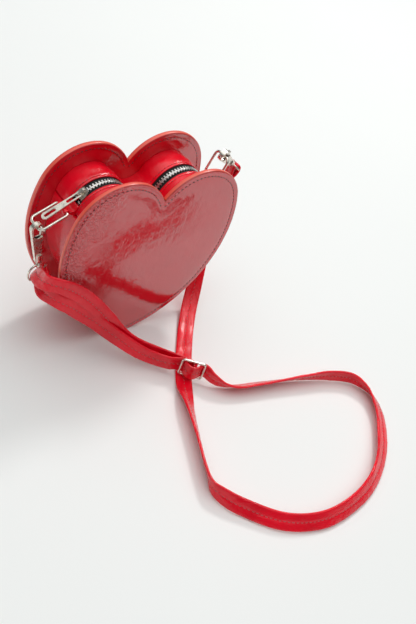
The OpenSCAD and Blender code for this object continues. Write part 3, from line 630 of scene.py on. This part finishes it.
def stations(inset, upper, step=1.4 * mm):
    """Places along the gusset's line, each with the way out of the bag, for its upper or lower part."""
    ring = heart_line(inset, 3.0)
    half = len(ring) // 2
    if upper:
        keep = [i for i in range(half) if by_zipper(*ring[i])]
        chain = [(-x, z) for x, z in ring[keep][::-1]] + [(x, z) for x, z in ring[keep][1:]]
    else:
        keep = [i for i in range(half + 1) if not by_zipper(*ring[i])]
        chain = [(x, z) for x, z in ring[keep]] + [(-x, z) for x, z in ring[keep][-2::-1]]
    chain = np.array(chain)
    so_far = np.concatenate([[0], np.cumsum(np.linalg.norm(np.diff(chain, axis=0), axis=1))])
    count = int(so_far[-1] / step)
    at = np.linspace(0, so_far[-1], count + 1)
    spots = np.stack([np.interp(at, so_far, chain[:, 0]), np.interp(at, so_far, chain[:, 1])], 1)
    got = []
    for i in range(count + 1):
        way = unit(spots[min(i + 1, count)] - spots[max(i - 1, 0)])
        out = np.array((-way[1], way[0]))
        got.append((spots[i], out, at[i]))
    return got


def band(name, places, profile, swell, node):
    """A leather strip along the gusset's line. profile is (y, rise), and swell adds to its show side."""
    points = []
    for spot, out, s in places:
        for y, rise in profile:
            high = rise + (swell(y, s) if rise > hidden_rise else 0)
            points.append((spot[0] + out[0] * high, y, spot[1] + out[1] * high))
    made = piece(name, points, tube(len(places), len(profile)), [red_gusset], "bag")
    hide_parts(node)


def puckers(y, s):
    """The rise of an upper strip: full in the middle, gathered at the seam, grooved by its stitches."""
    side = 1 if y > 0 else -1
    from_seam = (inner_y - abs(y)) / mm
    from_zip = (abs(y) - turned_edge) / mm
    roll = 0.45 * sin(pi * min(1, max(0, from_seam / 22.5))) ** 0.7
    pleat = 0.5 * exp(-from_seam / 5) * noise.noise(Vector((s / (6 * mm), side * 3.0, from_seam / 9)))
    broad = 0.55 * noise.noise(Vector((s / (17 * mm), from_seam / 9, side * 7.0 + 20)))
    groove = -0.3 * exp(-((from_zip - 2.8) / 0.5) ** 2)
    return (roll + pleat + broad * min(1, from_seam / 3, (from_zip + 0.4) / 3) + groove) * mm


upper_places = stations(gusset_in, True)
lower_places = stations(gusset_in, False, 2.5 * mm)
turned_edge = 5.95 * mm
seam_y = 8.8 * mm
wide = [29.0, 28.2, 27.2, 26, 24.5, 23, 21, 19, 17, 15, 13, 11.5, 10.3, 9.4, 9.0, 8.6, 8.2, 7.4, 6.5]
for side, name in ((-1, "front"), (1, "rear")):
    profile = [(side * y * mm, 0.0) for y in wide]
    profile += [(side * 6.1 * mm, -0.15 * mm), (side * turned_edge, -0.6 * mm), (side * 6.05 * mm, -1.2 * mm),
                (side * 6.5 * mm, -gusset_t), (side * 29.0 * mm, -gusset_t)]
    band("gusset_" + name + "_leather", upper_places, profile, puckers, "gusset_" + name + "_strip")
    row, up = [], []
    for spot, out, s in upper_places:
        rise = puckers(side * seam_y, s)
        row.append((spot[0] + out[0] * rise, side * seam_y, spot[1] + out[1] * rise))
        up.append((out[0], 0, out[1]))
    points, faces = stitches(row, up, pitch=3.8 * mm, length=2.5 * mm, radius=0.28 * mm)
    piece("gusset_" + name + "_stitches", points, faces, [dark_thread], "bag")


def slack(y, s):
    """The rise of the lower strip, which is pulled less tight."""
    from_seam = (inner_y - abs(y)) / mm
    broad = 0.9 * noise.noise(Vector((s / (24 * mm), y / (20 * mm), 31.0)))
    pleat = 0.5 * exp(-from_seam / 5) * noise.noise(Vector((s / (7 * mm), y * 90, 12.0)))
    return (0.5 * sin(pi * from_seam / 58) + broad * min(1, from_seam / 5) + pleat) * mm


wide = [-29, -28, -26.5, -24.5, -22, -18, -14, -10, -5, 0, 5, 10, 14, 18, 22, 24.5, 26.5, 28, 29]
profile = [(y * mm, 0.0) for y in wide] + [(29 * mm, -gusset_t), (-29 * mm, -gusset_t)]
band("gusset_lower_leather", lower_places, profile, slack, "gusset_lower")

# Lining: a bag of thin black satin, glued to the panels and sewn in with the gusset,
# open under the zipper.
satin, wire, place = finish("satin_lining")
weave_size = {"Vector": place, "Scale": 700.0, "Distortion": 1.0}
weft = wire.node("ShaderNodeTexWave", {"bands_direction": "X"}, weave_size)
warp = wire.node("ShaderNodeTexWave", {"bands_direction": "Z"}, weave_size)
close(wire, {
    "Base Color": mixed(wire, weft, (0.012, 0.012, 0.013), (0.03, 0.03, 0.032)),
    "Roughness": 0.38,
    "Sheen Weight": 0.4,
    "Normal": wire.node("ShaderNodeBump", {}, {"Height": weft * warp, "Strength": 0.5, "Distance": 0.0002}),
})
lining_in = gusset_in + gusset_t
ring = heart_line(lining_in + 0.1 * mm)
inner = heart_line(lining_in + 0.6 * mm)
points = []
levels = [-29, -28.5, -24, -18, -13.2, 13.2, 18, 24, 28.5, 29]
slit = levels.index(-13.2)
count = len(ring)
# The outer face, then the inner face, 0.5 mm inside it and lightly creased
for outline, lift in ((ring, 0), (inner, 1)):
    for y in levels:
        for k, (x, z) in enumerate(outline):
            crease = 0.35 * mm * noise.noise(Vector((k / 5, y / 9, 40))) * lift * (1 if abs(y) < 28 else 0)
            points.append((x * (1 - crease / 0.05), y * mm * (1 - 0.017 * lift), z))


def cloth_at(layer, row, k):
    return (layer * len(levels) + row) * count + k % count


faces = []
parted = [by_zipper(*ring[k]) or by_zipper(*ring[(k + 1) % count]) for k in range(count)]
for k in range(count):
    for layer in range(2):
        for row in range(len(levels) - 1):
            if not (row == slit and parted[k]):
                faces.append((cloth_at(layer, row, k), cloth_at(layer, row, k + 1),
                              cloth_at(layer, row + 1, k + 1), cloth_at(layer, row + 1, k)))
    if parted[k]:
        for row in (slit, slit + 1):
            faces.append((cloth_at(0, row, k), cloth_at(0, row, k + 1),
                          cloth_at(1, row, k + 1), cloth_at(1, row, k)))
    if parted[k] != parted[k - 1]:
        faces.append((cloth_at(0, slit, k), cloth_at(0, slit + 1, k),
                      cloth_at(1, slit + 1, k), cloth_at(1, slit, k)))
for layer in range(2):
    for row in (0, len(levels) - 1):
        hub = len(points)
        points.append((0, points[cloth_at(layer, row, 0)][1], middle_z))
        for k in range(count):
            faces.append((cloth_at(layer, row, k), cloth_at(layer, row, k + 1), hub))
made = piece("satin_lining", points, faces, [satin], "bag")
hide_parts("lining")


# Zipper tapes: black woven tape with a cord along its inner edge that the teeth
# bite on. The two tapes spread apart where the slider has passed.
tape_cloth, wire, place = finish("zipper_tape")
rib = wire.node("ShaderNodeTexWave", {"bands_direction": "Y"}, {
    "Vector": place, "Scale": 520.0, "Distortion": 0.6})
cross = wire.node("ShaderNodeTexWave", {"bands_direction": "X"}, {
    "Vector": place, "Scale": 640.0, "Distortion": 0.6})
close(wire, {
    "Base Color": mixed(wire, rib * cross, (0.004, 0.004, 0.005), (0.02, 0.02, 0.021)),
    "Roughness": 0.8,
    "Specular IOR Level": 0.25,
    "Sheen Weight": 0.1,
    "Normal": wire.node("ShaderNodeBump", {}, {"Height": rib + cross, "Strength": 0.7, "Distance": 0.0003}),
})
zip_places = stations(lining_in, True)
tape_edge = 1.2 * mm
spread = 2 * mm
teeth_r = 29 * mm
slider_turn = 138.7
open_x = -lobe_x + teeth_r * cos(radians(slider_turn))
# Across a tape: (distance from its inner edge, half its thickness), in mm
tape_section = [(0.0, 0.36), (0.35, 0.5), (0.9, 0.5), (1.5, 0.24), (2.2, 0.24), (3.2, 0.24), (5, 0.24),
                (8, 0.24), (11.8, 0.24)]
for side, name in ((-1, "front"), (1, "rear")):
    points = []
    for spot, out, _ in zip_places:
        opened = 1 if spot[0] < open_x else 0
        for face, across_tape in ((1, tape_section), (-1, tape_section[::-1])):
            for d, thick in across_tape:
                y = tape_edge + d * mm + opened * spread * max(0, 1 - d / 8)
                rise = -0.3 * mm + face * thick * mm
                points.append((spot[0] + out[0] * rise, side * y, spot[1] + out[1] * rise))
    faces = tube(len(zip_places), 2 * len(tape_section))
    made = piece("zipper_tape_" + name, points, faces, [tape_cloth], "bag")
    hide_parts("zip_tape_" + name)


# Tabs: a folded strip of patent leather on each side, sewn to the gusset and
# closed round the bar of its ring.
def tab(name, centre_x, turn, node):
    foot = 31 * mm
    bar = 41 * mm
    loop_out = 2.78 * mm
    outline = []
    for k in range(9):
        a = radians(-13 + 26 * k / 8)
        outline.append((foot * cos(a) - 0.15 * mm, foot * sin(a)))
    shoulder = [(32.4 * mm * cos(radians(12.6)), 32.4 * mm * sin(radians(12.6))),
                (32.6 * mm * cos(radians(9)), 32.6 * mm * sin(radians(9))),
                (33.2 * mm, 2.6 * mm), (34.2 * mm, 1.6 * mm)]
    outline += shoulder
    for k in range(13):
        a = radians(150 - 300 * k / 12)
        outline.append((bar + loop_out * cos(a), loop_out * sin(a)))
    outline += [(u, -v) for u, v in shoulder[::-1]]
    points = []
    # Across the tab: (place in mm, how much it is rounded off there)
    levels = [(-7.0, 0.5), (-6.8, 0.15), (-6.3, 0), (-3, 0), (0, 0), (3, 0), (6.3, 0), (6.8, 0.15),
              (7.0, 0.5)]
    c, s = cos(radians(turn)), sin(radians(turn))
    for y, shrink in levels:
        for k, (u, v) in enumerate(outline):
            thin = v * (1 - shrink * 0.2)
            puff = 1 + 0.05 * noise.noise(Vector((k / 3, y / 4, turn)))
            far = u - shrink * 0.4 * mm * (1 if u > 36 * mm else 0)
            wide = thin * puff
            points.append((centre_x + c * far - s * wide, y * mm, lobe_z + s * far + c * wide))
    made = piece(name, points, tube(len(levels), len(outline)), [red_gusset], "bag")
    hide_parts(node)


tab("left_ring_tab", -lobe_x, 170, "left_tab")
tab("right_ring_tab", lobe_x, 21, "right_tab")


# Metal fittings: die cast and bent wire, nickel plated. The plating is warm, with
# faint polishing lines and a duller film in the hollows.
def plated(name, colour, rough):
    material, wire, place = finish(name)
    haze = wire.node("ShaderNodeTexNoise", {}, {"Vector": place, "Scale": 240.0, "Detail": 3.0})
    brushed = wire.node("ShaderNodeMapping", {}, {"Vector": place, "Scale": (1.0, 0.2, 3.0)})
    lines = wire.node("ShaderNodeTexNoise", {}, {"Vector": brushed, "Scale": 1800.0})
    dull = tuple(0.72 * c for c in colour)
    tarnish = wire.node("ShaderNodeValToRGB", {"stops": [(0.4, 0.0), (0.65, 1.0)]}, {0: haze})
    close(wire, {
        "Base Color": mixed(wire, tarnish, colour, dull),
        "Metallic": 1.0,
        "Roughness": haze * 0.18 + (rough - 0.06),
        "Normal": wire.node("ShaderNodeBump", {}, {
            "Height": lines + haze * 0.6, "Strength": 0.25, "Distance": 0.0002}),
    })
    return material


nickel = plated("nickel_plate", (0.86, 0.82, 0.73), 0.24)
tooth_metal = plated("tooth_metal", (0.95, 0.94, 0.91), 0.27)
spring_steel = plated("spring_steel", (0.5, 0.5, 0.5), 0.32)


def dress(name, material):
    for one in nodes[name].material_slots:
        one.material = material
    if not nodes[name].material_slots:
        nodes[name].data.materials.append(material)


for name in ("zip_slider", "zip_puller", "adjuster", "left_ring", "right_ring", "left_hook", "right_hook",
             "left_gate", "right_gate", "left_swivel", "right_swivel", "left_strap_ring", "right_strap_ring"):
    dress(name, nickel)
for name in ("zip_teeth_front", "zip_teeth_rear", "zip_stops"):
    dress(name, tooth_metal)
for name in ("left_gate_pin", "right_gate_pin", "left_gate_spring", "right_gate_spring"):
    dress(name, spring_steel)


# Table: a matt white top that runs on out of sight on all sides. The purse stands
# on it on its two tips, and the strap lies on it.
table, wire, place = finish("white_table")
mottle = wire.node("ShaderNodeTexNoise", {}, {"Vector": place, "Scale": 3.0, "Detail": 3.0})
close(wire, {"Base Color": mixed(wire, mottle, (0.86, 0.87, 0.865), (0.84, 0.85, 0.845)), "Roughness": 0.6})
mesh = bpy.data.meshes.new("table")
table_r = 12
turns = [radians(a) for a in range(0, 360, 5)]
mesh.from_pydata([(table_r * cos(a), table_r * sin(a), 0) for a in turns], [], [tuple(range(len(turns)))])
mesh.materials.append(table)
floor = bpy.data.objects.new("table", mesh)
bpy.context.scene.collection.objects.link(floor)

# Light: bright from above and dim from the sides, which shows in the gloss and in
# the metal. Where the camera looks past the table, it sees an even pale grey.
world = bpy.data.worlds.new("room_light")
bpy.context.scene.world = world
world.use_nodes = True
world.node_tree.nodes.clear()
sky = Wire(world.node_tree)
aim = sky.node("ShaderNodeTexCoord", out=0)
height = sky.node("ShaderNodeSeparateXYZ", {}, {0: aim}, out=2)
ceiling = sky.node("ShaderNodeValToRGB", {"stops": [(0.0, 0.07), (0.55, 0.1), (0.9, 1.0)]}, {0: height})
seen = sky.node("ShaderNodeLightPath", out=0)
glow = sky.node("ShaderNodeBackground", {}, {
    "Color": (0.95, 0.97, 0.96, 1),
    "Strength": sky.node("ShaderNodeMix", {"data_type": "FLOAT"}, {0: seen, 2: ceiling * 1.68, 3: 0.74}),
})
sky.node("ShaderNodeOutputWorld", {}, {"Surface": glow})

# Lamp: one soft round light behind the purse, high on its right side. It gives the
# sharp glints, and a shadow that falls to the front and the left.
light = bpy.data.lights.new("window", "AREA")
light.shape = "DISK"
light.size = 0.42
light.energy = 15
light.color = (1.0, 0.99, 0.97)
window = bpy.data.objects.new("window", light)
window.location = (1.35, 0.75, 1.75)
window.rotation_euler = (Vector((0, -0.05, 0.05)) - window.location).to_track_quat("-Z", "Y").to_euler()
bpy.context.scene.collection.objects.link(window)

view = bpy.context.scene.view_settings
view.view_transform = "Standard"
